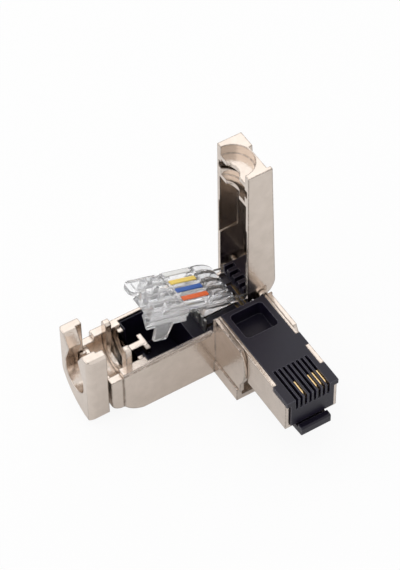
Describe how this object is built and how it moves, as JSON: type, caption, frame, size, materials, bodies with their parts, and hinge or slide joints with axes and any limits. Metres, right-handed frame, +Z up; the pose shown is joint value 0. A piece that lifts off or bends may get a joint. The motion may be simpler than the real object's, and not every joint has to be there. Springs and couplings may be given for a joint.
{
  "type": "field termination ethernet plug",
  "caption": "Angled metal data plug for field wiring, shown open, with a hinged cover, a clear wire manager, a turning cable lock and a spring latch.",
  "frame": {"origin": "on the flat underside, below the point where the cable axis and the nose axis cross", "axes": "+Z up, the cable leaves along -X at 10.5 mm height, the plug nose points along -Y, the opened cover stands up at +X"},
  "size_m": [0.0426, 0.0399, 0.0505],
  "materials": {
    "housing_metal": "satin nickel plating on zinc die casting",
    "black_plastic": "satin moulded",
    "clear_plastic": "clear moulded",
    "white_ink": "printed",
    "yellow_ink": "printed",
    "blue_ink": "printed",
    "orange_ink": "printed",
    "gold_contact": "gold plated",
    "tinned_terminal": "tin plated",
    "pin_steel": "ground"
  },
  "bodies": {
    "base": {"base_housing": "housing_metal", "nose_shell": "housing_metal", "plug_insert": "black_plastic", "contact_block": "black_plastic", "trough_liner": "black_plastic", "contact_1": "gold_contact", "contact_2": "gold_contact", "contact_3": "gold_contact", "contact_6": "gold_contact", "terminal_1": "tinned_terminal", "terminal_2": "tinned_terminal", "terminal_3": "tinned_terminal", "terminal_4": "tinned_terminal", "hinge_pin": "pin_steel", "nose_pin": "pin_steel"},
    "lid": {"cover": "housing_metal", "foot_insert": "black_plastic"},
    "manager": {"wire_manager": "clear_plastic", "strip_white": "white_ink", "strip_yellow": "yellow_ink", "strip_blue": "blue_ink", "strip_orange": "orange_ink"},
    "knob": {"lock_knob": "housing_metal"},
    "latch": {"latch_lever": "black_plastic"}
  },
  "joints": [
    {"name": "cover_hinge", "type": "hinge", "parent": "base", "child": "lid", "pos_m": [0.005, 0, 0.0158], "axis": [0, -1, 0], "range_deg": [0, 90]},
    {"name": "manager_hinge", "type": "hinge", "parent": "lid", "child": "manager", "pos_m": [0.0029, 0, 0.0146], "axis": [0, 1, 0], "range_deg": [0, 71.5]},
    {"name": "knob_turn", "type": "hinge", "parent": "base", "child": "knob", "pos_m": [-0.03225, 0, 0.0105], "axis": [-1, 0, 0], "range_deg": [0, 90]},
    {"name": "latch_flex", "type": "hinge", "parent": "base", "child": "latch", "pos_m": [0, -0.03235, 0.0074], "axis": [1, 0, 0], "range_deg": [0, 8], "stiffness_Nm_per_rad": 0.15}
  ],
  "couplings": [
    {"joint": "manager_hinge", "follows": "cover_hinge", "ratio": 0.79444}
  ]
}
